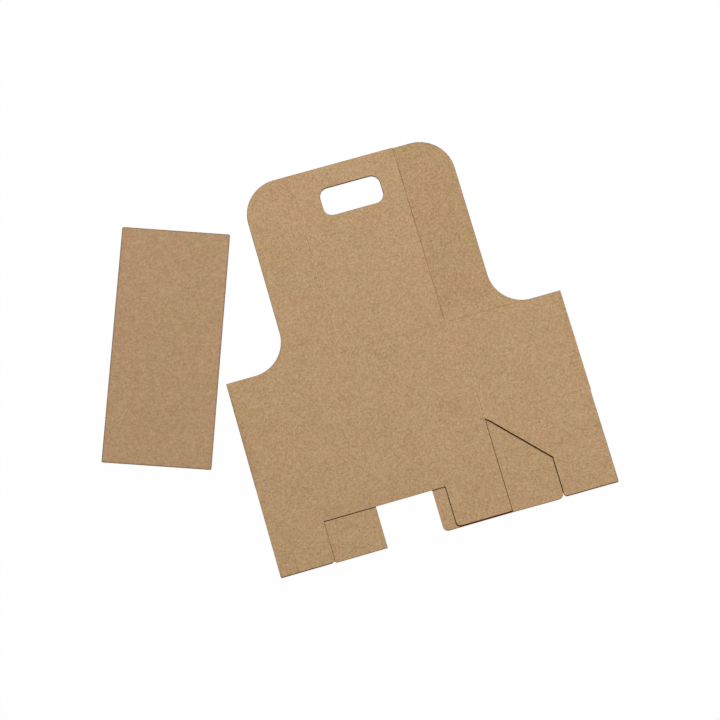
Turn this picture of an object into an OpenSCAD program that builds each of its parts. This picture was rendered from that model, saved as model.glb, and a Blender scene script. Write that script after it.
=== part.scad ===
// Two-cup carrier cut from one sheet of kraft card, lying folded flat with its
// loose floor pad beside it. Seen from above, the card is a sleeve of two layers
// folded together at both sides. The upper layer is the front wall and the right
// end wall, the lower layer is the left end wall and the back wall. From each long
// wall a wing runs up and carries a handle panel, and the two handle panels are
// glued face to face. Below the walls hang the four flaps of a lock bottom.

/* [Walls] */
// Width of the front and the back wall, crease to crease
wall_l = 209; // [185:1:250]
// Width of the two end walls, crease to crease
wall_w = 95.5; // [84:0.5:112]
// Height of the walls, from the bottom crease to their top edge
wall_h = 91; // [70:0.5:130]

/* [Card] */
// Thickness of the card
card_t = 0.8; // [0.5:0.1:1.2]
// Air between the upper and the lower layer of the folded card
layer_gap = 0.3; // [0.2:0.1:0.6]
// Width of a knife cut
cut_w = 0.4; // [0.3:0.1:0.8]
// Width of a pressed crease
crease_w = 1.6; // [1:0.1:2.4]
// Depth of a pressed crease
crease_d = 0.14; // [0.06:0.02:0.2]
// Radius of the card's small cut corners
card_corner_r = 1.4; // [0.8:0.1:2.5]

/* [Handle] */
// Height of the handle above the top edge of the walls
handle_h = 165; // [140:1:200]
// How much lower the back handle panel ends than the front one
handle_step = 0.7; // [0:0.1:2]
// Width of each wing, from its outer edge to the fold of its handle panel
wing_w = 47.5; // [38:0.5:58]
// Radius of the handle's upper corners
handle_corner_r = 32; // [15:1:36]
// Radius of the hollow corner where a wing meets its wall
wing_foot_r = 31; // [12:1:34]
// Card cut away at the free edge of each handle panel
panel_trim = 1.7; // [0.6:0.1:2.5]
// Distance from a free edge or the hand hole to the glue between the handle panels
glue_margin = 4; // [2:0.5:8]

/* [Hand hole] */
// Length of the hand hole
hole_l = 55; // [45:1:66]
// Height of the hand hole
hole_h = 25; // [20:0.5:32]
// Radius of the hand hole's corners
hole_corner_r = 8; // [4:0.5:9.5]
// Distance from the top of the handle to the hand hole
hole_drop = 20; // [14:0.5:30]

/* [Perforated folds] */
// Length of each cut in the fold of a handle panel
perf_cut_l = 16; // [8:1:22]
// Distance from one of these cuts to the next
perf_pitch = 36.3; // [28:0.1:45]
// Height of the middle of the lowest cut above the walls
perf_first = 28.7; // [20:0.1:34]

/* [Lock bottom] */
// Length of the bottom flaps
flap_l = 85; // [76:0.5:92]
// Width of the tongue on the back flap
tongue_w = 109; // [95:0.5:118]
// Clearance between the tongue and the slot in the front flap
lock_play = 0.2; // [0:0.1:1.5]
// Radius of the corners of the tongue and of the slot
lock_corner_r = 4.5; // [3:0.5:8]
// Card cut away along each side of a flap
flap_trim = 0.3; // [0.2:0.1:0.6]
// Card cut away between the inner edge of an end flap and the middle of its wall
ear_trim = 0.8; // [0.2:0.1:1.5]
// How far below the middle of the bottom an end flap's sloping edge ends
ear_relief = 1; // [0:0.1:3]
// Length of the back flap's full-width part
shoulder_l = 20; // [10:1:30]
// How far short of the slot the slopes of the back flap end
neck_relief = 4; // [1:0.5:8]
// Slack in the folds, by which the lower flaps lie to the right of the upper ones
lower_shift = 0.7; // [0:0.1:1]
// Gap left between a turning flap and its wall
hinge_gap = 0.3; // [0.3:0.1:0.6]

/* [Floor pad] */
// How much smaller the pad is than the carrier's floor, each way
pad_clearance = 0.5; // [0.2:0.1:2]
// Thickness of the pad
pad_t = 0.8; // [0.5:0.1:1.5]
// Distance from the pad's long edge to the nearest corner of the walls
pad_gap = 6.8; // [4:0.2:20]
// How far up along its long edge the pad lies
pad_slide = 29; // [20:1:36]
// Angle by which the pad leans to the right
pad_lean = 20; // [14:1:24]

/* [Hidden] */
$fn = 64;

kraft = [0.71, 0.58, 0.44];
kraft_pad = [0.69, 0.56, 0.43];

flat_w = wall_l + wall_w;
upper_z = card_t + layer_gap;
stack_t = 2 * card_t + layer_gap;
fold_r = card_t + layer_gap / 2;
fold_in = fold_r - card_t / 2;

hinge_x = wall_l / 2;
handle_left = hinge_x - wing_w;
panel_edge = hinge_x + wall_w - panel_trim;
hole_y = handle_h - hole_drop - hole_h / 2;
perf_count = 1 + floor((handle_h - perf_first - perf_cut_l / 2) / perf_pitch);
crease_r = (crease_w * crease_w / 4 + crease_d * crease_d) / (2 * crease_d);

lock_depth = wall_w / 2;
leg_w = (wall_l - tongue_w - lock_play) / 2;
tongue_x = wall_w + (wall_l - tongue_w) / 2 + lower_shift;
ear_x = wall_w / 2 - ear_trim;
ear_y = lock_depth + ear_relief;
neck_l = lock_depth - neck_relief;

pad_l = wall_l - pad_clearance;
pad_w = wall_w - pad_clearance;
pad_off = pad_gap + pad_w / 2;
pad_x = -pad_off * cos(pad_lean) + pad_slide * sin(pad_lean) - card_t / 2;
pad_y = pad_off * sin(pad_lean) + pad_slide * cos(pad_lean);
pad_reach_x = (pad_w * cos(pad_lean) + pad_l * sin(pad_lean)) / 2;
pad_reach_y = (pad_w * sin(pad_lean) + pad_l * cos(pad_lean)) / 2;

left = min(pad_x - pad_reach_x, -card_t / 2);
right = flat_w + card_t / 2;
bottom = min(pad_y - pad_reach_y, -wall_h - flap_l);
top = max(pad_y + pad_reach_y, handle_h);

// Puts the origin under the middle of everything that lies on the table
module on_table() {
    translate([-(left + right) / 2, -(bottom + top) / 2, 0]) children();
}

// A rectangle given by two corners, with a radius at each corner in the order
// lower left, lower right, upper right, upper left
module panel(x0, y0, x1, y1, r = [0, 0, 0, 0]) {
    difference() {
        translate([x0, y0]) square([x1 - x0, y1 - y0]);
        corner_waste(x0, y0, 1, 1, r[0]);
        corner_waste(x1, y0, -1, 1, r[1]);
        corner_waste(x1, y1, -1, -1, r[2]);
        corner_waste(x0, y1, 1, -1, r[3]);
    }
}

// What a rounded corner takes off, where the card lies towards sx, sy
module corner_waste(x, y, sx, sy, r) {
    if (r > 0) {
        translate([x, y]) scale([sx, sy]) difference() {
            translate([-1, -1]) square(r + 1);
            translate([r, r]) circle(r);
        }
    }
}

// The walls: a flattened sleeve with a round fold at each side
module sleeve_section(grow) {
    translate([fold_in, stack_t / 2]) circle(layer_gap / 2 + grow);
    translate([flat_w - fold_in, stack_t / 2]) circle(layer_gap / 2 + grow);
    translate([fold_in, card_t - grow]) square([flat_w - 2 * fold_in, layer_gap + 2 * grow]);
}

module sleeve() {
    rotate([90, 0, 0]) linear_extrude(wall_h) difference() {
        sleeve_section(card_t);
        sleeve_section(0);
    }
}

// One wing with its handle panel, as it stands on the front wall
module handle_outline(height) {
    difference() {
        union() {
            panel(handle_left, 0, panel_edge, height, [0, 0, 0, handle_corner_r]);
            translate([handle_left - wing_foot_r, 0]) difference() {
                square(wing_foot_r);
                translate([0, wing_foot_r]) circle(wing_foot_r);
            }
        }
        translate([hinge_x, -cut_w]) square([wall_w, 2 * cut_w]);
        hand_hole(0);
        for (i = [0 : perf_count - 1])
            translate([hinge_x, perf_first + i * perf_pitch])
                square([cut_w, perf_cut_l], center = true);
    }
}

module hand_hole(grow) {
    translate([flat_w / 2, hole_y])
        panel(-hole_l / 2 - grow, -hole_h / 2 - grow, hole_l / 2 + grow, hole_h / 2 + grow,
              (hole_corner_r + grow) * [1, 1, 1, 1]);
}

// The glue line that holds the two handle panels together
module glue() {
    difference() {
        panel(flat_w - panel_edge + glue_margin, cut_w + glue_margin,
              panel_edge - glue_margin, handle_h - handle_step - glue_margin);
        hand_hole(glue_margin);
    }
}

// A round-bottomed groove pressed into the face at height z
module crease(from, to, z) {
    run = to - from;
    face = z > 0 ? 1 : -1;
    translate([from[0], from[1], z + face * (crease_r - crease_d)])
        rotate([0, 0, atan2(run[1], run[0])]) rotate([0, 90, 0])
            cylinder(r = crease_r, h = norm(run));
}

// An end flap hanging from the crease at y = 0, with its sloping edge at x = 0
module ear_outline(side_w, side_r) {
    difference() {
        polygon([
            [flap_trim, 0],
            [ear_x, -ear_y],
            [ear_x, -flap_l],
            [side_w - flap_trim, -flap_l],
            [side_w - flap_trim, 0]
        ]);
        corner_waste(ear_x, -flap_l, 1, 1, card_corner_r);
        corner_waste(side_w - flap_trim, -flap_l, -1, 1, side_r);
    }
}

// The front flap: two legs beside the slot that takes the tongue
module front_flap_outline() {
    slot_y = -lock_depth;
    difference() {
        panel(flap_trim, -flap_l, wall_l - flap_trim, -hinge_gap, [card_corner_r, 0, 0, 0]);
        translate([leg_w, -flap_l - 1]) square([wall_l - 2 * leg_w, flap_l + 1 + slot_y]);
        corner_waste(leg_w, -flap_l, -1, 1, lock_corner_r);
        corner_waste(wall_l - leg_w, -flap_l, 1, 1, lock_corner_r);
    }
}

// The back flap: full width at the crease, sloping in to the tongue
module back_flap_outline() {
    lo = wall_w + flap_trim + lower_shift;
    hi = flat_w - flap_trim;
    polygon([
        [lo, 0],
        [lo, -shoulder_l],
        [tongue_x, -neck_l],
        [tongue_x + tongue_w, -neck_l],
        [hi, -shoulder_l],
        [hi, 0]
    ]);
    panel(tongue_x, -flap_l, tongue_x + tongue_w, -neck_l, [lock_corner_r, lock_corner_r, 0, 0]);
}

// The folded and glued sheet, without the two upper flaps, which turn
module carrier_sheet() {
    color(kraft) on_table() difference() {
        union() {
            sleeve();
            translate([0, 0, upper_z]) linear_extrude(card_t) handle_outline(handle_h);
            translate([flat_w, 0, 0]) mirror([1, 0, 0])
                linear_extrude(card_t) handle_outline(handle_h - handle_step);
            translate([0, 0, card_t]) linear_extrude(layer_gap) glue();
            translate([lower_shift, -wall_h, 0]) linear_extrude(card_t)
                ear_outline(wall_w, 0);
            translate([0, -wall_h, 0]) linear_extrude(card_t) back_flap_outline();
        }
        crease([wall_l, -wall_h - 1], [wall_l, 1], stack_t);
        crease([hinge_x, cut_w], [hinge_x, handle_h + 1], stack_t);
        crease([wall_w, crease_w - wall_h], [wall_w, 1], 0);
        crease([flat_w - hinge_x, cut_w], [flat_w - hinge_x, handle_h + 1], 0);
        crease([-1, -wall_h], [flat_w + 1, -wall_h], 0);
    }
}

module front_lock_flap() {
    color(kraft) on_table() translate([0, -wall_h, upper_z])
        linear_extrude(card_t) front_flap_outline();
}

module end_flap() {
    color(kraft) on_table() translate([wall_l, -wall_h, upper_z]) linear_extrude(card_t)
        intersection() {
            ear_outline(wall_w, card_corner_r);
            translate([0, -flap_l - 1]) square([wall_w, flap_l + 1 - hinge_gap]);
        }
}

module floor_pad() {
    color(kraft_pad) on_table() translate([pad_x, pad_y, 0]) rotate(-pad_lean)
        linear_extrude(pad_t) square([pad_w, pad_l], center = true);
}

carrier_sheet();
front_lock_flap();
end_flap();
floor_pad();
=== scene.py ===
import math

import bpy
import numpy as np
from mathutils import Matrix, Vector
from mathutils.geometry import delaunay_2d_cdt


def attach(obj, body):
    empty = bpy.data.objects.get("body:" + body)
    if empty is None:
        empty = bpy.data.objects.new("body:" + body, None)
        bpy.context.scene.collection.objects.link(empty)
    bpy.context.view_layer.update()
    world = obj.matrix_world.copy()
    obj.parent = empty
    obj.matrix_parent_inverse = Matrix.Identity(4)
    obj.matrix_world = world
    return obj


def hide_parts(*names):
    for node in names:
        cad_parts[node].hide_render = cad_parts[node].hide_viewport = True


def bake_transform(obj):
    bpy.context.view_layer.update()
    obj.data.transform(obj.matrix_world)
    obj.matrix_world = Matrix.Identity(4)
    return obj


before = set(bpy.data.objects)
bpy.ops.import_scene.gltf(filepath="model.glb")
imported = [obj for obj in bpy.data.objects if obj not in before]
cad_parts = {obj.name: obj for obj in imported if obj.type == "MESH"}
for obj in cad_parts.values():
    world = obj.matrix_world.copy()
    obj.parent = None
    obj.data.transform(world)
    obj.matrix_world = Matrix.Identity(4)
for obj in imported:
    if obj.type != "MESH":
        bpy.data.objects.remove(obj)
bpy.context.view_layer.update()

# The carrier sheet. One sheet of solid kraft board is cut and creased flat on a die, folded round at
# both sides into a flat sleeve, and its two ends meet at the back of the left end wall. The sizes are
# in millimetres from the left fold and the walls' top edge, close to the ones that part.scad gives.
MM = 0.001
wall_l = 209.0
wall_w = 95.5
wall_h = 91.0
flat_w = wall_l + wall_w
card_t = 0.8
layer_gap = 0.3
fold_in = card_t / 2 + layer_gap / 2
middle_z = card_t + layer_gap / 2
joint_x = 96.2
handle_h = 164.8
handle_step = 0.35
wing_w = 47.5
handle_corner_r = 32.0
wing_foot_r = 31.0
hinge_x = wall_l / 2
fold_line = 103.1
panel_edge = 198.95
panel_lean = 0.55
hole_size = (55.0, 25.0)
hole_middle = (152.05, 132.5)
hole_corner_r = 8.0
flap_l = 85.0
lock_depth = wall_w / 2
tongue = (146.4, 255.45)
tongue_corner_r = 5.8
lock_corner_r = 4.5
flap_corner_r = 1.4
flap_trim = 0.3
ear_inner = 255.35
back_ear = (-95.56, -47.65)
back_ear_corner_r = 3.0
bend_strip = 1.0
front_edge = 208.7
slot = (49.0, 158.2)
slot_y = -138.55
wall_crease = 208.25
back_fold_line = flat_w + fold_line + 1.9
frame_shift = (-91.5492, 5.5)
fold_clear = 0.6


def arc(x, y, radius, start, end, steps=14):
    """Points round a circle from one angle to another, in degrees."""
    return [(x + radius * math.cos(a), y + radius * math.sin(a))
            for a in np.radians(np.linspace(start, end, steps + 1))]


def handle_edge(offset, height, cut, near_gap, far_gap):
    """A wall's top edge and its handle, from the far end of the knife cut round to the wing's foot. The
    cut lies at cut[0] at the fold of the panel and at cut[1] at its far end, and is open by the gaps."""
    left = hinge_x - wing_w
    past_panel = panel_edge + 4
    points = [(past_panel, cut[1]), (fold_line, cut[0]), (fold_line, cut[0] + near_gap)]
    points += [(panel_edge + panel_lean, cut[1] + far_gap), (panel_edge, height)]
    points += arc(left + handle_corner_r, height - handle_corner_r, handle_corner_r, 90, 180)
    points += arc(left - wing_foot_r, wing_foot_r, wing_foot_r, 0, -90)
    return [(offset + x, y) for x, y in points]


def hand_hole(x, y):
    """The hand hole, clockwise, because the card is outside it."""
    half_l = hole_size[0] / 2 - hole_corner_r
    half_h = hole_size[1] / 2 - hole_corner_r
    loop = arc(x + half_l, y + half_h, hole_corner_r, 90, 0, 8)
    loop += arc(x + half_l, y - half_h, hole_corner_r, 0, -90, 8)
    loop += arc(x - half_l, y - half_h, hole_corner_r, -90, -180, 8)
    loop += arc(x - half_l, y + half_h, hole_corner_r, 180, 90, 8)
    return loop


def divided(loop, step):
    """The same loop with points added, so that no run between two of them is longer than step."""
    points = []
    for (x0, y0), (x1, y1) in zip(loop, loop[1:] + loop[:1]):
        count = max(1, math.ceil(math.hypot(x1 - x0, y1 - y0) / step))
        points += [(x0 + (x1 - x0) * i / count, y0 + (y1 - y0) * i / count) for i in range(count)]
    return np.array(points)


def moved_in(loop, distance):
    """The loop moved into the card, which lies to its left."""
    run = np.roll(loop, -1, 0) - loop
    run /= np.linalg.norm(run, axis=1)[:, None]
    side = np.stack([-run[:, 1], run[:, 0]], 1)
    before = np.roll(side, 1, 0)
    return loop + np.reshape(distance, (-1, 1)) * (side + before) / (1 + (side * before).sum(1))[:, None]


# How wide the knife's wedge shows on each kind of edge; shares above 1 widen its dark cut-edge colour as
# painted shade. A later kind goes over an earlier one
wedge_shares = {
    "foot of a flap": 2.5, "foot of the right leg": 1.9, "left side of the slot": 1.5,
    "top of the slot": 0.6, "inner edge of the end flap": 1.5, "slope of the end flap": 2.0,
    "right edge of the front flap": 2.4, "free edge of the panel": 1.1, "foot of the panel": 1.7,
    "top of the hand hole": 1.8, "closed cut": 0.06, "side fold": 0.12, "bottom crease": 0.0,
    "butt joint": 0.1,
}


def wedge(points):
    """How much of the knife's wedge shows at points of an edge: more on the free edges, little in the
    closed cuts and round the side folds, and none where a flap goes on past the crease. Where it shows
    wider than the plain edge, its dark cut-edge colour is painted shade."""
    along, up = points.T
    part = along % flat_w
    front = (along > 0) & (along < flat_w)
    flap = (up < -wall_h - 1.2) & front
    foot = up < 1.5 - wall_h - flap_l
    end_inner = flap & (along > wall_l) & (along < ear_inner + 1.15)
    panel_side = (up > 0.8) & (np.abs(along - panel_edge) < 0.6)
    hole_top = hole_middle[1] + hole_size[1] / 2
    places = {
        "foot of a flap": foot,
        "foot of the right leg": flap & foot & (along > slot[1] - 1.2) & (along < wall_l),
        "left side of the slot": flap & (np.abs(along - slot[0]) < 0.3),
        "top of the slot": flap & (np.abs(up - slot_y) < 0.5),
        "inner edge of the end flap": end_inner,
        "slope of the end flap": end_inner & (up > slot_y - 1.5),
        "right edge of the front flap": flap & (np.abs(along - front_edge) < 0.2),
        "free edge of the panel": panel_side,
        "foot of the panel": panel_side & (up < 16),
        "top of the hand hole": (np.abs(part - hole_middle[0]) < 26) & (np.abs(up - hole_top) < 1),
        "closed cut": (np.abs(up) < 0.8) & (part > fold_line - 0.5) & (part < panel_edge + 0.8),
        "side fold": (np.minimum(np.abs(along), np.abs(along - flat_w)) < 1.3) & (up > -wall_h - 1.2),
        "bottom crease": (np.abs(up + wall_h) < 1.2) & (along > 0.2) & (along < flat_w - 0.2),
        "butt joint": (along < 0.01 - joint_x) | (along > 2 * flat_w - joint_x - 0.01),
    }
    share = np.ones(len(points))
    for kind, amount in wedge_shares.items():
        share[places[kind]] = amount
    return share


def on_card(points, loops):
    """Which points lie on the card, inside the outer loop and outside the holes."""
    inside = np.zeros(len(points), bool)
    for loop in loops:
        for (x0, y0), (x1, y1) in zip(loop, np.roll(loop, -1, 0)):
            if y0 != y1:
                across = (points[:, 1] >= min(y0, y1)) & (points[:, 1] < max(y0, y1))
                at = x0 + (points[:, 1] - y0) * (x1 - x0) / (y1 - y0)
                inside ^= across & (points[:, 0] < at)
    return inside


# Each crease in the sheet: the side or the height that it runs at, its two ends, how deep it is pressed,
# the lines beside it as (distance, width, tone), partly the crushed fibres' own tone and partly painted
# shade and painted highlight, and how clearly they show at places along it
upright = "along"
lying = "up"
creases = [
    (upright, wall_crease, (-wall_h, 0.0), 0.10,
     ((0.0, 0.45, -0.16), (1.1, 0.45, 0.17), (-1.15, 0.5, 0.11)),
     ((-wall_h, 1.1), (-62, 0.9), (-50, 0.4), (0, 0.35))),
    (upright, fold_line, (0.5, handle_h), 0.08,
     ((0.5, 0.7, 0.05), (-2.0, 0.8, -0.05)), ((0, 1), (handle_h, 1))),
    (upright, back_fold_line, (0.5, handle_h), 0.05,
     ((0.0, 0.6, -0.03),), ((0, 1), (handle_h, 1))),
    (upright, -wall_w, (-wall_h, 0.0), 0.10, ((0.0, 0.45, -0.08),), ((-wall_h, 1), (0, 1))),
    (upright, 2 * flat_w - wall_w, (-wall_h, 0.0), 0.10,
     ((0.0, 0.45, -0.08),), ((-wall_h, 1), (0, 1))),
    (lying, 0.45 - wall_h, (-wall_w, 2 * flat_w), 0.015,
     ((0.0, 0.5, -0.13), (-1.5, 0.6, 0.09), (1.9, 0.6, 0.03)),
     ((0, 1.1), (25, 1), (45, 0.8), (70, 0.3), (175, 0.35), (200, 0.6), (215, 0.3), (245, 0.35),
      (270, 0.5), (290, 0.75), (305, 0.7))),
]
crease_rows = (-2.6, -2.0, -1.5, -1.1, -0.8, -0.5, -0.25, 0.0, 0.25, 0.5, 0.8, 1.1, 1.5, 2.0, 2.6)
crease_fade = 3
groove_w = 0.45
shoulder_at = 1.05
shoulder_w = 0.4
shoulder_h = 0.22


def beside(crease, along, up):
    """How far points are from a crease, how much of it is left towards its ends, and how far along it
    they lie."""
    across, run = (along, up) if crease[0] == upright else (up, along)
    low, high = crease[2]
    ends = np.clip((run - low) / crease_fade + 1, 0, 1) * np.clip((high - run) / crease_fade + 1, 0, 1)
    return across - crease[1], ends, run


def pressed(along, up):
    """How far the outer face is pressed in by the creases, with the small shoulders beside them."""
    depth = np.zeros(len(along))
    for crease in creases:
        d, ends, _ = beside(crease, along, up)
        groove = np.exp(-(d / groove_w) ** 2)
        groove -= shoulder_h * np.exp(-((np.abs(d) - shoulder_at) / shoulder_w) ** 2)
        depth += crease[3] * ends * groove
    return depth


# The knife's wedge: rings of points inside an edge, each with its distance from the edge, how far the
# outer face has dropped there, and how far the inner face has risen
wedge_rings = [(0.0, 0.50, 0.02), (0.20, 0.10, 0.0), (0.32, 0.018, 0.0), (0.46, 0.0, 0.0)]
last_sloped_ring = 2
last_torn_ring = 1
no_ring = 9
edge_step = 4.0
row_step = 3.0
row_clear = 3
grid_step = 7.0
grid_inset = 0.7
least_wedge = 0.1
inner_press = 0.4
weld = 1e-5


def cut_card(loops, rows):
    """Cuts flat card along the loops and returns its points (along, up, through), its faces and which of
    them show as cut edge. Rows are lines of extra points, joined to one another, where the card is
    pressed or bent. The wedge slopes the cut edges, and shows as cut edge on both faces."""
    outlines = [divided(loop, edge_step) for loop in loops]
    points = []
    edges = []
    drops = []
    count = 0
    for number, (distance, top_drop, under_drop) in enumerate(wedge_rings):
        for outline in outlines:
            share = wedge(outline)
            points.append(moved_in(outline, distance * share))
            ids = np.arange(len(outline)) + count
            edges += list(zip(ids.tolist(), np.roll(ids, -1).tolist()))
            drops += [(top_drop * part, under_drop * part, number) for part in np.minimum(share, 1.0)]
            count += len(outline)
    low, high = outlines[0].min(0), outlines[0].max(0)
    across = np.arange(low[0] + grid_step / 2, high[0], grid_step)
    upward = np.arange(low[1] + grid_step / 2, high[1], grid_step)
    grid = np.stack(np.meshgrid(across, upward), -1).reshape(-1, 2)
    grid[:, 0] += np.where(np.round(grid[:, 1] / grid_step) % 2, grid_step / 4, -grid_step / 4)
    for x0, y0, x1, y1 in rows:
        inside = (grid[:, 0] > min(x0, x1) - row_clear) & (grid[:, 0] < max(x0, x1) + row_clear)
        inside &= (grid[:, 1] > min(y0, y1) - row_clear) & (grid[:, 1] < max(y0, y1) + row_clear)
        grid = grid[~inside]
    within = [moved_in(outline, grid_inset * np.maximum(wedge(outline), least_wedge))
              for outline in outlines]
    points.append(grid[on_card(grid, within)])
    count += len(points[-1])
    for x0, y0, x1, y1 in rows:
        length = math.hypot(x1 - x0, y1 - y0)
        count_along = max(1, round(length / row_step))
        t = np.sort(np.append(np.linspace(0, 1, count_along + 1),
                              [fold_clear / length, 1 - fold_clear / length]))
        line = np.array([[x0, y0]]) + t[:, None] * np.array([[x1 - x0, y1 - y0]])
        line = line[on_card(line, within)]
        ids = np.arange(len(line)) + count
        joined = np.hypot(*np.diff(line, axis=0).T) < 1.2 * length / count_along
        edges += list(zip(ids[:-1][joined].tolist(), ids[1:][joined].tolist()))
        points.append(line)
        count += len(line)
    drops += [(0.0, 0.0, no_ring)] * (count - len(drops))
    points = np.concatenate(points)
    found, _, faces, sources, _, _ = delaunay_2d_cdt([Vector(p) for p in points], edges, [], 0, weld)
    flat = np.array([(v.x, v.y) for v in found])
    drop = np.array([drops[min(ids)] if ids else (0.0, 0.0, no_ring) for ids in sources])
    faces = np.array(faces)
    faces = faces[on_card(flat[faces].mean(1), outlines)]
    a, b, c = (flat[faces[:, i]] for i in range(3))
    turned = (b[:, 0] - a[:, 0]) * (c[:, 1] - a[:, 1]) < (b[:, 1] - a[:, 1]) * (c[:, 0] - a[:, 0])
    faces[turned] = faces[turned][:, ::-1]
    sides = dict.fromkeys((tri[i], tri[(i + 1) % 3]) for tri in faces.tolist() for i in range(3))
    rim = [edge for edge in sides if edge[::-1] not in sides]
    press = pressed(flat[:, 0], flat[:, 1])
    top = card_t / 2 - np.maximum(drop[:, 0], press)
    under = -card_t / 2 + drop[:, 1] - inner_press * np.maximum(press, 0)
    total = len(flat)
    place = np.concatenate([np.column_stack([flat, top]), np.column_stack([flat, under])])
    polygons = faces.tolist() + (faces[:, ::-1] + total).tolist()
    polygons += [[i + total, j + total, j, i] for i, j in rim]
    # The sloped and torn faces take the dark cut-edge colour, partly painted shade
    sloped = (drop[faces, 2] <= last_sloped_ring).all(1)
    torn = (drop[faces, 2] <= last_torn_ring).all(1)
    cut = np.concatenate([sloped, torn, np.ones(len(rim), bool)])
    return place, polygons, cut


# How the walls sag into the sleeve, how soon that fades towards their folds, and how far the lip over
# the slot goes down, with its two ends
sag_depth = 0.05
sag_fade = 12
lip_depth = 0.2
lip_ends = (42, 165)
lip_fade = 7
lip_reach = 8


def settled(along, up):
    """How far the walls sag into the sleeve between their folds, and the top edge of the slot with it."""
    walls = np.clip(-up / sag_fade, 0, 1) * np.clip((up + wall_h) / sag_fade, 0, 1)
    span = np.clip(np.abs(np.sin(math.pi * along / flat_w)) * 4, 0, 1)
    waves = 1 + np.sin(along / 19 + 1.3) * np.sin(up / 23 + along / 61)
    sag = sag_depth * walls * span * waves
    lip = np.clip((along - lip_ends[0]) / lip_fade, 0, 1) * np.clip((lip_ends[1] - along) / lip_fade, 0, 1)
    return sag + lip_depth * lip * np.exp(-((up - slot_y) / lip_reach) ** 2)


# The two side folds: where they are, which way they point and how far they are crushed or stand out
folds = [(0.0, -1, 0.7), (flat_w, 1, 1.5)]


def folded(place):
    """Carries points of the flat sheet (along, up, through) to where they lie in the folded sleeve."""
    along, up, through = place.T
    through = through - settled(along, up)
    x = np.where(along < 0, -along, np.where(along < flat_w, along, 2 * flat_w - along))
    upper = (along > 0) & (along < flat_w)
    z = np.where(upper, middle_z + fold_in + through, middle_z - fold_in - through)
    for line, sign, crush in folds:
        bent = np.abs(along - line) < fold_in
        turn = math.pi * (along - line + fold_in) / (2 * fold_in)
        reach = fold_in + through
        x = np.where(bent, line - sign * fold_in + sign * crush * reach * np.sin(turn), x)
        z = np.where(bent, middle_z + sign * reach * np.cos(turn), z)
    return np.column_stack([x + frame_shift[0], up + frame_shift[1], z]) * MM


def unfolded(co):
    """The opposite of folded, for points of a finished mesh: along, up and through the sheet, in metres."""
    x, y, z = (co / MM).T
    x = x - frame_shift[0]
    up = y - frame_shift[1]
    upper = z > middle_z
    along = np.where(upper, x, np.where(x < joint_x, -x, 2 * flat_w - x))
    through = np.where(upper, z - middle_z - fold_in, middle_z - fold_in - z)
    for line, sign, crush in folds:
        out = (x - line + sign * fold_in) * sign / crush
        bent = out > 0
        turn = np.arctan2(out, (z - middle_z) * sign)
        along = np.where(bent, line - fold_in + 2 * fold_in * turn / math.pi, along)
        through = np.where(bent, np.hypot(out, z - middle_z) - fold_in, through)
    return np.column_stack([along, up, through]) * MM


def add(tree, kind, inputs=None, **settings):
    """Adds a node with its settings, and with the values or the links of its inputs."""
    node = tree.nodes.new(kind)
    for name, value in settings.items():
        setattr(node, name, value)
    for socket, value in (inputs or {}).items():
        if isinstance(value, bpy.types.NodeSocket):
            tree.links.new(value, node.inputs[socket])
        else:
            node.inputs[socket].default_value = value
    return node


def reckon(tree, operation, *values):
    """One step of arithmetic on shader values."""
    return add(tree, "ShaderNodeMath", dict(enumerate(values)), operation=operation).outputs[0]


def noise(tree, place, scale, detail, stretch=None, turn=0.0, rough=0.5):
    """A noise value round 0, from about -0.5 to 0.5, stretched and turned where that is asked."""
    if stretch:
        place = add(tree, "ShaderNodeMapping",
                    {"Vector": place, "Rotation": (0, 0, turn), "Scale": stretch}).outputs[0]
    found = add(tree, "ShaderNodeTexNoise",
                {"Vector": place, "Scale": scale, "Detail": detail, "Roughness": rough})
    return reckon(tree, "SUBTRACT", found.outputs["Fac"], 0.5)


def weighed(tree, *parts):
    """The sum of values, each times its weight."""
    total = None
    for value, weight in parts:
        step = reckon(tree, "MULTIPLY", value, weight)
        total = step if total is None else reckon(tree, "ADD", total, step)
    return total


def specks(tree, place, scale, size, share):
    """Small specks, 1 in their middle, in a share of the cells of a loose grid."""
    cells = add(tree, "ShaderNodeTexVoronoi", {"Vector": place, "Scale": scale})
    chosen = add(tree, "ShaderNodeSeparateColor", {"Color": cells.outputs["Color"]}).outputs[0]
    chosen = reckon(tree, "LESS_THAN", chosen, share)
    near = add(tree, "ShaderNodeMapRange", {"Value": cells.outputs["Distance"], "From Min": size,
                                            "From Max": size * 0.4, "To Min": 0.0, "To Max": 1.0})
    return reckon(tree, "MULTIPLY", near.outputs[0], chosen)


def painted_rim_shade(tree, place, middle, turn, size):
    """A painted shade: a darker tone for the narrow strip along the edges of a rectangle."""
    own = add(tree, "ShaderNodeMapping", {"Vector": place, "Location": middle, "Rotation": (0, 0, turn)},
              vector_type="TEXTURE").outputs[0]
    parts = add(tree, "ShaderNodeSeparateXYZ", {"Vector": own}).outputs
    inside = [reckon(tree, "SUBTRACT", size[i] / 2, reckon(tree, "ABSOLUTE", parts[i])) for i in (0, 1)]
    nearest = reckon(tree, "MINIMUM", *inside)
    return add(tree, "ShaderNodeMapRange", {"Value": nearest, "From Min": 0.0008, "From Max": 0.0014,
                                            "To Min": -0.24, "To Max": 0.0}).outputs[0]


# The tones of the pulp: how red, green and blue follow its light and dark, the level that it goes round,
# and how it turns a little warmer and a little greener from place to place
pulp_depth = (0.85, 1.03, 1.38)
pulp_level = 0.962
pulp_warm = (1.018, 0.985, 1.014)
pulp_green = (0.984, 1.012, 0.984)
fibre_angles = (0.35, 1.25, 2.2, 2.9)
stray_angles = (0.7, 2.0, 2.7)


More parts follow.
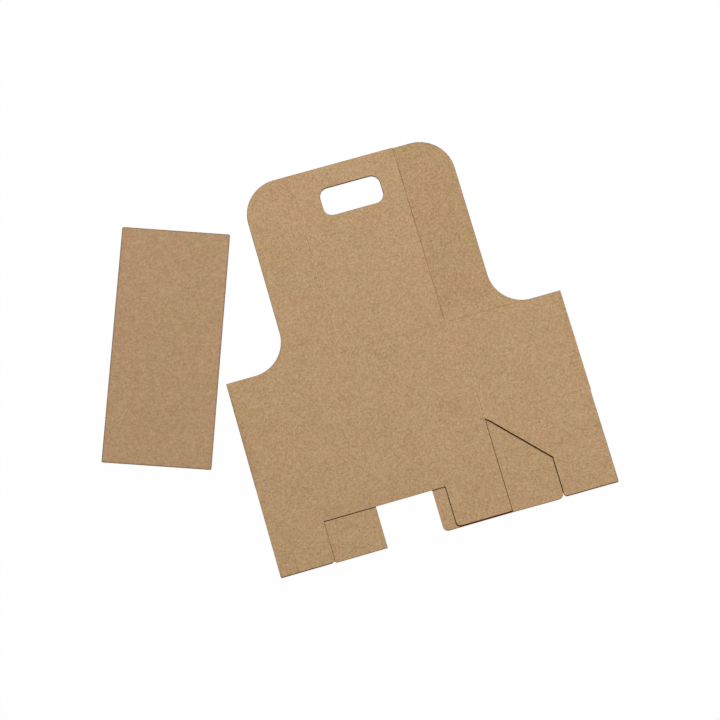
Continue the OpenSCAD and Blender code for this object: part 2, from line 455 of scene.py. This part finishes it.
def kraft_material(name, colour, place_from, mottle=1.0, streak=0.0, turn=0.0, rim=None):
    """Uncoated kraft board: mottled brown pulp, short fibres lying every way, and light and dark specks,
    with the tone on top, which holds painted shade and painted highlight.
    """
    material = bpy.data.materials.new(name)
    material.use_nodes = True
    tree = material.node_tree
    tree.nodes.clear()
    if place_from:
        place = add(tree, "ShaderNodeAttribute", attribute_name=place_from).outputs["Vector"]
        tone = add(tree, "ShaderNodeAttribute", attribute_name="tone").outputs["Fac"]
    else:
        place = add(tree, "ShaderNodeTexCoord").outputs["Object"]
        # the pad's tone is a painted shade along its edges
        tone = painted_rim_shade(tree, place, *rim)
    cloud = noise(tree, place, 34, 2)
    patch = noise(tree, place, 150, 2)
    grain = noise(tree, place, 480, 3, rough=0.6)
    fine = noise(tree, place, 1500, 2)
    fibre = None
    for angle in fibre_angles:
        line = noise(tree, place, 1.0, 1, (420 + 90 * angle, 3600, 900), turn + angle)
        line = reckon(tree, "POWER", reckon(tree, "ABSOLUTE", line), 2.0)
        fibre = line if fibre is None else reckon(tree, "ADD", fibre, line)
    bands = noise(tree, place, 1.0, 2, (90, 900, 200), turn)
    strays = None
    for angle in stray_angles:
        way = add(tree, "ShaderNodeMapping", {"Vector": place, "Rotation": (0, 0, turn + angle),
                                              "Scale": (1, 0.14, 1)}).outputs[0]
        stray = specks(tree, way, 310, 0.05, 0.05)
        strays = stray if strays is None else reckon(tree, "ADD", strays, stray)
    dark = specks(tree, place, 130, 0.055, 0.16)
    light = specks(tree, place, 175, 0.06, 0.2)
    shade = weighed(tree, (cloud, 0.12 * mottle), (patch, 0.22 * mottle), (grain, 0.95 * mottle),
                    (fine, 1.0 * mottle), (fibre, 1.6), (bands, streak), (dark, -0.35), (light, 0.15),
                    (strays, 0.25), (tone, 1.0))
    deep = add(tree, "ShaderNodeVectorMath", {0: shade, 1: pulp_depth, 2: (pulp_level,) * 3},
               operation="MULTIPLY_ADD")
    drift = weighed(tree, (noise(tree, place, 70, 2), 1.1), (noise(tree, place, 24, 1), 0.9))
    greener = add(tree, "ShaderNodeMapRange", {"Value": drift, "From Min": -0.25, "From Max": 0.25})
    warm = [c * f for c, f in zip(colour, pulp_warm)] + [1]
    green = [c * f for c, f in zip(colour, pulp_green)] + [1]
    tint = add(tree, "ShaderNodeMix", {0: greener.outputs[0], 6: warm, 7: green}, data_type="RGBA")
    scaled = add(tree, "ShaderNodeVectorMath", {0: tint.outputs[2], 1: deep.outputs[0]},
                 operation="MULTIPLY")
    height = weighed(tree, (fibre, 2.0), (grain, 0.6), (fine, 0.5), (bands, streak * 2))
    bump = add(tree, "ShaderNodeBump", {"Height": height, "Strength": 0.6, "Distance": 0.00006})
    rough = reckon(tree, "ADD", reckon(tree, "MULTIPLY", grain, 0.2), 0.84)
    shader = add(tree, "ShaderNodeBsdfPrincipled", {"Base Color": scaled.outputs[0],
                 "Roughness": rough, "Normal": bump.outputs[0], "Specular IOR Level": 0.2})
    add(tree, "ShaderNodeOutputMaterial", {"Surface": shader.outputs[0]})
    return material


def edge_material(name, colour):
    """The cut edge of the board, where the plies show as fine lines and the knife has left fibres."""
    material = bpy.data.materials.new(name)
    material.use_nodes = True
    tree = material.node_tree
    tree.nodes.clear()
    place = add(tree, "ShaderNodeTexCoord").outputs["Object"]
    plies = noise(tree, place, 1.0, 2, (120, 120, 9000))
    torn = noise(tree, place, 2200, 3, rough=0.7)
    shade = weighed(tree, (plies, 0.5), (torn, 0.45))
    scaled = add(tree, "ShaderNodeVectorMath", {0: list(colour)}, operation="SCALE")
    tree.links.new(reckon(tree, "ADD", shade, 1.0), scaled.inputs["Scale"])
    bump = add(tree, "ShaderNodeBump", {"Height": shade, "Strength": 0.8, "Distance": 0.00008})
    shader = add(tree, "ShaderNodeBsdfPrincipled", {"Base Color": scaled.outputs[0],
                 "Roughness": 0.9, "Normal": bump.outputs[0], "Specular IOR Level": 0.15})
    add(tree, "ShaderNodeOutputMaterial", {"Surface": shader.outputs[0]})
    return material


def linear(*values):
    """A colour given as it looks on the screen, from 0 to 255, as the shader wants it."""
    return [(v / 255 / 12.92) if v < 10 else ((v / 255 + 0.055) / 1.055) ** 2.4 for v in values]


kraft_face = kraft_material("kraft_face", linear(181, 148.8, 110.4), "blank")
# The cut-edge brown is darker and warmer than the board's own cut edge: partly its own colour, partly
# painted shade
cut_edge_painted_shade = edge_material("kraft_cut_edge_painted_shade", linear(114, 74, 36))
# Painted shade: the lower layer is painted darker, more so up in the handle
lower_layer_painted_shade = -0.075
lower_layer_shade_fade = 20
# Painted shade along the two side folds, darkest on the fold's nose
side_fold_painted_shade = 0.15
side_fold_shade_w = 0.6


def card_tone_and_painted_shade(along, up):
    """The tone painted on the card. At each crease the shoulders are lighter and the bottom darker, partly
    the crushed fibres' own tone and partly painted highlight and painted shade. The side folds get a
    painted shade. The lower layer shows the board's inner face, with a painted shade that grows darker up
    in the handle."""
    lower = (along < 0) | (along > flat_w)
    # painted shade on the lower layer, growing darker up into the handle
    tone = lower_layer_painted_shade * lower * np.clip(up / lower_layer_shade_fade, 0, 1)
    # painted shade along the side folds
    for line, _, _ in folds:
        tone -= side_fold_painted_shade * (up > -wall_h) * np.exp(-((along - line) / side_fold_shade_w) ** 2)
    # crease lines: painted shade in the bottom and painted highlight on the shoulders, partly the fibres'
    # own tone
    for crease in creases:
        d, ends, run = beside(crease, along, up)
        clear = np.interp(run, *np.transpose(crease[5]))
        for distance, width, mark in crease[4]:
            tone += clear * ends * mark * np.exp(-((d - distance) / width) ** 2)
    return tone


def card_object(name, place, polygons, cut):
    """Makes the mesh of a cut card in its place, with the second material on its cut edges."""
    mesh = bpy.data.meshes.new(name)
    mesh.from_pydata(folded(place).tolist(), [], polygons)
    mesh.materials.append(kraft_face)
    mesh.materials.append(cut_edge_painted_shade)
    mesh.polygons.foreach_set("material_index", cut.astype(np.int32))
    obj = bpy.data.objects.new(name, mesh)
    bpy.context.scene.collection.objects.link(obj)
    return obj


def mark_card(obj):
    """Stores on each point where it lies on the flat sheet, and the tone of the card there, and shades
    the side folds smooth."""
    mesh = obj.data
    co = np.zeros(len(mesh.vertices) * 3, np.float32)
    mesh.vertices.foreach_get("co", co)
    blank = unfolded(co.reshape(-1, 3).astype(float))
    along = blank[:, 0] / MM
    up = blank[:, 1] / MM
    tone = card_tone_and_painted_shade(along, up)
    mesh.attributes.new("blank", "FLOAT_VECTOR", "POINT").data.foreach_set(
        "vector", blank.astype(np.float32).ravel())
    mesh.attributes.new("tone", "FLOAT", "POINT").data.foreach_set("value", tone.astype(np.float32))
    near_fold = np.minimum(np.abs(along), np.abs(along - flat_w)) < fold_in + 0.01
    near_fold &= (up < -0.5) & (up > 0.5 - wall_h)
    smooth = [all(near_fold[i] for i in p.vertices) for p in mesh.polygons]
    mesh.polygons.foreach_set("use_smooth", smooth)


def plain_mesh(obj):
    """Turns what the object's modifiers give into its own mesh and takes the modifiers off."""
    shown = obj.evaluated_get(bpy.context.evaluated_depsgraph_get())
    mesh = bpy.data.meshes.new_from_object(shown)
    obj.modifiers.clear()
    obj.data = mesh
    mesh.name = obj.name


strip = -wall_h + bend_strip
flap_foot = -wall_h - flap_l
shoulder_y = -wall_h - 20


def back_flap():
    """The back flap with its tongue, along the lower edge of the sheet from the right fold."""
    right = 2 * flat_w - (flat_w - flap_trim)
    left = 2 * flat_w - (wall_w + 1.0)
    slope_y = -wall_h - lock_depth + 4.0
    tongue_near, tongue_far = 2 * flat_w - tongue[1], 2 * flat_w - tongue[0]
    near_foot = flap_foot - 0.55
    points = [(right, -wall_h), (right, shoulder_y), (tongue_near, slope_y)]
    points += arc(tongue_near + tongue_corner_r, near_foot + tongue_corner_r, tongue_corner_r, 180, 270, 8)
    points += [(2 * flat_w - wall_l, flap_foot - 0.05)]
    points += arc(tongue_far - lock_corner_r, flap_foot + lock_corner_r, lock_corner_r, 270, 360, 8)
    return points + [(tongue_far, slope_y), (left, shoulder_y), (left, -wall_h)]


def left_ear():
    """The flap under the left end wall, which lies in the lower layer, so it is seen from behind."""
    side, inner = back_ear
    foot = flap_foot + 0.25
    points = [(side, -wall_h), (side, foot)]
    points += arc(inner - back_ear_corner_r, foot + back_ear_corner_r, back_ear_corner_r, -90, 0, 8)
    return points + [(inner, -wall_h - lock_depth - 1), (-1.0, -wall_h)]


def over_fold(line, start, end, height):
    """Points of the sheet's edge across a side fold, close enough together to follow the bend."""
    steps = np.linspace(start, end, 1 + round(abs(end - start) / 0.075))
    return [(line + step, height) for step in steps]


sheet_loop = [(-joint_x, -wall_h)] + left_ear()
sheet_loop += over_fold(0.0, -fold_clear, fold_clear, -wall_h)
sheet_loop += [(fold_clear, strip), (front_edge, strip)]
sheet_loop += [(front_edge, -wall_h), (wall_l + flap_trim, -wall_h)]
sheet_loop += [(wall_l + flap_trim, strip), (flat_w - fold_clear, strip)]
sheet_loop += over_fold(flat_w, -fold_clear, 0.225, -wall_h)
sheet_loop += back_flap()
sheet_loop += [(2 * flat_w - joint_x, -wall_h), (2 * flat_w - joint_x, 0.0)]
sheet_loop += handle_edge(flat_w, handle_h - handle_step, (0.0, 0.0), 0.1, 0.1)
sheet_loop += over_fold(flat_w, fold_clear, -fold_clear, 0.0)
sheet_loop += [(flat_w - 24, 0.0), (250.0, 0.5)]
sheet_loop += handle_edge(0.0, handle_h, (-0.48, 0.5), 0.06, 0.02)
sheet_loop += over_fold(0.0, fold_clear, -fold_clear, 0.0)
sheet_loop += [(-joint_x, 0.0)]

sheet_rows = []
for offset in crease_rows:
    sheet_rows.append((wall_crease + offset, -wall_h, wall_crease + offset, 0))
    sheet_rows.append((fold_line + offset, 0, fold_line + offset, handle_h))
    sheet_rows.append((back_fold_line + offset, 0, back_fold_line + offset, handle_h))
    sheet_rows.append((-joint_x, -wall_h + offset, -fold_clear, -wall_h + offset))
    sheet_rows.append((flat_w + fold_clear, -wall_h + offset, 2 * flat_w - joint_x, -wall_h + offset))
    if offset > bend_strip:
        above = -wall_h + 0.4 + offset
        sheet_rows.append((fold_clear, above, flat_w - fold_clear, above))
for across_fold in np.linspace(-fold_in, fold_in, 15):
    sheet_rows.append((across_fold, -wall_h, across_fold, 0))
    sheet_rows.append((flat_w + across_fold, -wall_h, flat_w + across_fold, 0))

holes = [hand_hole(*hole_middle), hand_hole(2 * flat_w - hole_middle[0], hole_middle[1])]
sheet = card_object("carrier_card", *cut_card([sheet_loop] + holes, sheet_rows))

# The perforated folds. Where each handle panel folds from its wing, a row of short knives on the die
# cuts through the card. The knives are made as a row, one for each handle, and taken out of the sheet.
perf_cut = (0.14, 16.0, 1.2)
perf_pitch = 36.3
perf_first = 28.7
perf_count = 4
perf_slant = math.radians(26)
perf_rows = (("upper", fold_line, 1.5, perf_slant), ("lower", flat_w - fold_line - 1.9, 0.4, -perf_slant))


def new_tree(name, inputs):
    """A Geometry Nodes tree with named inputs, its input node and the identifiers of its sockets."""
    tree = bpy.data.node_groups.new(name, "GeometryNodeTree")
    tree.interface.new_socket("Geometry", in_out="OUTPUT", socket_type="NodeSocketGeometry")
    keys = {}
    for label, kind in inputs:
        keys[label] = tree.interface.new_socket(
            label, in_out="INPUT", socket_type="NodeSocket" + kind).identifier
    return tree, tree.nodes.new("NodeGroupInput").outputs, keys


def grown(name, tree, keys, values):
    """An object whose mesh the tree makes from these values."""
    obj = bpy.data.objects.new(name, bpy.data.meshes.new(name))
    bpy.context.scene.collection.objects.link(obj)
    modifier = obj.modifiers.new(name, "NODES")
    modifier.node_group = tree
    for label, value in values.items():
        modifier[keys[label]] = value
    plain_mesh(obj)
    return obj


knife_tree, knife_inputs, knife_keys = new_tree("perforating_knives", [
    ("First Knife", "Vector"), ("Pitch", "Vector"), ("Count", "Int"), ("Knife", "Vector"),
    ("Slant", "Vector"), ("Material", "Material")])
row_line = add(knife_tree, "GeometryNodeMeshLine", {"Count": knife_inputs["Count"],
               "Start Location": knife_inputs["First Knife"], "Offset": knife_inputs["Pitch"]})
blade = add(knife_tree, "GeometryNodeMeshCube", {"Size": knife_inputs["Knife"]})
blades = add(knife_tree, "GeometryNodeInstanceOnPoints", {
    "Points": row_line.outputs[0], "Instance": blade.outputs[0], "Rotation": knife_inputs["Slant"]})
blade_meshes = add(knife_tree, "GeometryNodeRealizeInstances", {"Geometry": blades.outputs[0]})
edged = add(knife_tree, "GeometryNodeSetMaterial",
            {"Geometry": blade_meshes.outputs[0], "Material": knife_inputs["Material"]})
add(knife_tree, "NodeGroupOutput", {0: edged.outputs[0]})

for layer, fold_x, height, slant in perf_rows:
    first = Vector((fold_x + frame_shift[0], perf_first + frame_shift[1], height)) * MM
    knives = grown("knives_" + layer, knife_tree, knife_keys, {
        "First Knife": first, "Pitch": (0, perf_pitch * MM, 0), "Count": perf_count,
        "Knife": [size * MM for size in perf_cut], "Slant": (0, slant, 0), "Material": cut_edge_painted_shade})
    cutting = sheet.modifiers.new("cut", "BOOLEAN")
    cutting.operation = "DIFFERENCE"
    cutting.solver = "EXACT"
    cutting.object = knives
    plain_mesh(sheet)
    bpy.data.objects.remove(knives)

mark_card(sheet)
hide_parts("carrier_sheet")
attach(sheet, "carrier")

# The front lock flap and the right end flap, part of the same sheet, hanging from the bottom crease of
# the upper layer. The card bends in the crease itself, so each flap begins just above it.
bend_rows = np.arange(-3.0, bend_strip, 0.15)
bend_half = 0.95


def turning_flap(name, loop, x0, x1, node):
    """Cuts one of the two flaps, with close rows of points across the bottom crease between the wall and its
    body, and shades them smooth there.
    """
    rows = [(x0, -wall_h + up, x1, -wall_h + up) for up in bend_rows]
    flap = card_object(name, *cut_card([loop], rows))
    mark_card(flap)
    bent = [abs(v.co.y / MM - frame_shift[1] + wall_h) < bend_half for v in flap.data.vertices]
    smooth = [all(bent[i] for i in p.vertices) and p.material_index == 0 for p in flap.data.polygons]
    flap.data.polygons.foreach_set("use_smooth", smooth)
    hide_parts(node)
    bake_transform(flap)


leg_feet = (flap_foot + 0.6, flap_foot + 0.85)
front_left = -0.05
under_crease = -wall_h - 0.1
front_loop = [(front_left, under_crease)]
front_loop += arc(front_left + flap_corner_r, leg_feet[0] + flap_corner_r, flap_corner_r, 180, 270, 4)
front_loop += arc(slot[0] - lock_corner_r, leg_feet[0] + lock_corner_r, lock_corner_r, 270, 360, 8)
front_loop += [(slot[0], slot_y), (slot[1], slot_y)]
front_loop += arc(slot[1] + lock_corner_r, leg_feet[1] + lock_corner_r, lock_corner_r, 180, 270, 8)
front_loop += [(front_edge, leg_feet[1]), (front_edge, strip), (fold_clear, strip)]
front_loop += [(fold_clear, under_crease)]
turning_flap("front_flap_card", front_loop, 0, wall_l, "front_lock_flap")

ear_side = flat_w - 0.15
ear_corner_r = 1.2
ear_inner_corner_r = 2.6
ear_inner_foot = flap_foot + 0.1
ear_outer_foot = flap_foot - 0.2
end_loop = [(wall_l + flap_trim, strip), (wall_l + flap_trim, -wall_h - 0.7)]
end_loop += [(ear_inner, -wall_h - lock_depth - 1)]
end_loop += arc(ear_inner + ear_inner_corner_r, ear_inner_foot + ear_inner_corner_r,
                ear_inner_corner_r, 180, 270, 6)
end_loop += arc(ear_side - ear_corner_r, ear_outer_foot + ear_corner_r, ear_corner_r, 270, 360, 6)
end_loop += [(ear_side, under_crease), (flat_w - fold_clear, under_crease), (flat_w - fold_clear, strip)]
turning_flap("end_flap_card", end_loop, wall_l, flat_w, "end_flap")

# The floor pad, a loose rectangle of kraft board that goes into the bottom of the made-up carrier. It
# is die-cut with slightly rounded corners, and its fibres run across it in fine streaks.
pad_size = (95.25, 209.3, 0.8)
pad_corner_r = 1.3
pad_edge_r = 0.38
pad_lean = math.radians(20)
pad_gap = 6.8
pad_grown = 0.1
pad_slide = 29.07
pad_off = pad_gap - pad_grown + pad_size[0] / 2
pad_x = -pad_off * math.cos(pad_lean) + pad_slide * math.sin(pad_lean) - card_t / 2 + frame_shift[0]
pad_y = pad_off * math.sin(pad_lean) + pad_slide * math.cos(pad_lean) + frame_shift[1]
pad_place = (pad_x * MM, pad_y * MM, 0.0)
# The last value places the painted shade along the pad's edges
pad_face = kraft_material("kraft_pad_face", linear(176.5, 143.4, 108.8), None, 0.9, 0.16, pad_lean,
                          (pad_place, -pad_lean, (pad_size[0] * MM, pad_size[1] * MM)))

pad_tree, pad_inputs, pad_keys = new_tree("floor_pad_board", [
    ("Width", "Float"), ("Length", "Float"), ("Corner Radius", "Float"), ("Thickness", "Float"),
    ("Place", "Vector"), ("Lean", "Vector"), ("Face", "Material"), ("Cut Edge", "Material")])
pad_outline = add(pad_tree, "GeometryNodeCurvePrimitiveQuadrilateral",
                  {"Width": pad_inputs["Width"], "Height": pad_inputs["Length"]})
cornered = add(pad_tree, "GeometryNodeFilletCurve", {"Curve": pad_outline.outputs[0], "Count": 6,
               "Radius": pad_inputs["Corner Radius"]}, mode="POLY")
pad_under = add(pad_tree, "GeometryNodeFillCurve", {"Curve": cornered.outputs[0]}, mode="NGONS")
through_pad = add(pad_tree, "ShaderNodeCombineXYZ", {"Z": pad_inputs["Thickness"]})
raised = add(pad_tree, "GeometryNodeExtrudeMesh", {"Mesh": pad_under.outputs[0],
             "Offset": through_pad.outputs[0], "Offset Scale": 1.0})
faced = add(pad_tree, "GeometryNodeSetMaterial",
            {"Geometry": raised.outputs[0], "Material": pad_inputs["Face"]})
sided = add(pad_tree, "GeometryNodeSetMaterial", {"Geometry": faced.outputs[0],
            "Selection": raised.outputs["Side"], "Material": pad_inputs["Cut Edge"]})
facing_down = add(pad_tree, "GeometryNodeFlipFaces", {"Mesh": pad_under.outputs[0]})
backed = add(pad_tree, "GeometryNodeSetMaterial",
             {"Geometry": facing_down.outputs[0], "Material": pad_inputs["Face"]})
closed = add(pad_tree, "GeometryNodeJoinGeometry", {0: sided.outputs[0]})
pad_tree.links.new(backed.outputs[0], closed.inputs[0])
welded = add(pad_tree, "GeometryNodeMergeByDistance", {"Geometry": closed.outputs[0], "Distance": 1e-6})
laid = add(pad_tree, "GeometryNodeTransform", {"Geometry": welded.outputs[0],
           "Translation": pad_inputs["Place"], "Rotation": pad_inputs["Lean"]})
pad_mesh = add(pad_tree, "GeometryNodeRealizeInstances", {"Geometry": laid.outputs[0]})
add(pad_tree, "NodeGroupOutput", {0: pad_mesh.outputs[0]})

pad = grown("floor_pad_card", pad_tree, pad_keys, {
    "Width": pad_size[0] * MM, "Length": pad_size[1] * MM, "Corner Radius": pad_corner_r * MM,
    "Thickness": pad_size[2] * MM, "Place": pad_place, "Lean": (0, 0, -pad_lean),
    "Face": pad_face, "Cut Edge": cut_edge_painted_shade})
rounding = pad.modifiers.new("cut_edge", "BEVEL")
rounding.width = pad_edge_r * MM
rounding.segments = 3
rounding.limit_method = "ANGLE"
rounding.angle_limit = math.radians(60)
rounding.material = 1
plain_mesh(pad)
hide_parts("floor_pad")
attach(pad, "carrier")

# The studio: a white table top under the card, one soft square lamp high up behind the handle, and an
# even surround. The table and the surround show white to the camera without adding light to the card.
table_half = 3
table_z = -0.0001
table_mesh = bpy.data.meshes.new("table_top")
table_corners = [(-table_half, -table_half, table_z), (table_half, -table_half, table_z),
                 (table_half, table_half, table_z), (-table_half, table_half, table_z)]
table_mesh.from_pydata(table_corners, [], [(0, 1, 2, 3)])
table = bpy.data.objects.new("table_top", table_mesh)
bpy.context.scene.collection.objects.link(table)
table_white = bpy.data.materials.new("table_white")
table_white.use_nodes = True
table_nodes = table_white.node_tree
table_nodes.nodes.clear()
table_seen = add(table_nodes, "ShaderNodeLightPath").outputs["Is Camera Ray"]
glow_share = reckon(table_nodes, "MULTIPLY", table_seen, 0.96)
matte = add(table_nodes, "ShaderNodeBsdfDiffuse", {"Color": (0.9, 0.9, 0.9, 1)})
glow = add(table_nodes, "ShaderNodeEmission", {"Color": (1, 1, 1, 1), "Strength": 1.0})
mixed = add(table_nodes, "ShaderNodeMixShader", {0: glow_share, 1: matte.outputs[0], 2: glow.outputs[0]})
add(table_nodes, "ShaderNodeOutputMaterial", {"Surface": mixed.outputs[0]})
table_mesh.materials.append(table_white)

world = bpy.data.worlds.new("surround")
bpy.context.scene.world = world
world.use_nodes = True
sky_nodes = world.node_tree
sky_nodes.nodes.clear()
sky_seen = add(sky_nodes, "ShaderNodeLightPath").outputs["Is Camera Ray"]
sky_level = add(sky_nodes, "ShaderNodeMapRange", {"Value": sky_seen, "To Min": 0.12, "To Max": 1.0})
sky_hue = add(sky_nodes, "ShaderNodeMix", {0: sky_seen, 6: (1, 0.9, 0.75, 1), 7: (1, 1, 1, 1)},
              data_type="RGBA")
sky = add(sky_nodes, "ShaderNodeBackground", {"Color": sky_hue.outputs[2], "Strength": sky_level.outputs[0]})
add(sky_nodes, "ShaderNodeOutputWorld", {"Surface": sky.outputs[0]})

# The lamp and the camera both point at the same place on the table, in metres. The camera stands nearly
# above the card, and is rolled a little, as the one that took the photograph was
aim = Vector((0.0265966, -0.0057436, 0.0))
lamp_azimuth = math.radians(35)
lamp_height = math.radians(45)
lamp_distance = 5.0
lamp_data = bpy.data.lights.new("window", "AREA")
lamp_data.size = 1.5
lamp_data.energy = 305
lamp_way = Vector((math.sin(lamp_azimuth) * math.cos(lamp_height),
                   math.cos(lamp_azimuth) * math.cos(lamp_height), math.sin(lamp_height)))
lamp = bpy.data.objects.new("window", lamp_data)
lamp.location = aim + lamp_way * lamp_distance
lamp.rotation_euler = lamp_way.to_track_quat("Z", "Y").to_euler()
bpy.context.scene.collection.objects.link(lamp)

camera_angles = (-24.4525, 80.5167, 8.4196)
camera_distance = 1.7507457
azimuth, elevation, roll = (math.radians(v) for v in camera_angles)
back = Vector((math.sin(azimuth) * math.cos(elevation), -math.cos(azimuth) * math.cos(elevation),
               math.sin(elevation)))
level_right = Vector((math.cos(azimuth), math.sin(azimuth), 0))
level_up = back.cross(level_right)
right = level_right * math.cos(roll) + level_up * math.sin(roll)
upright_axis = level_up * math.cos(roll) - level_right * math.sin(roll)
camera_data = bpy.data.cameras.new("camera")
camera_data.lens = 100
camera_data.sensor_width = 36
camera_data.clip_end = 20
camera = bpy.data.objects.new("camera", camera_data)
bpy.context.scene.collection.objects.link(camera)
view = camera.matrix_world
for column, axis in enumerate((right, upright_axis, back, aim + back * camera_distance)):
    for row in range(3):
        view[row][column] = axis[row]
camera.matrix_world = view
bpy.context.scene.camera = camera
bpy.context.scene.view_settings.view_transform = "Standard"
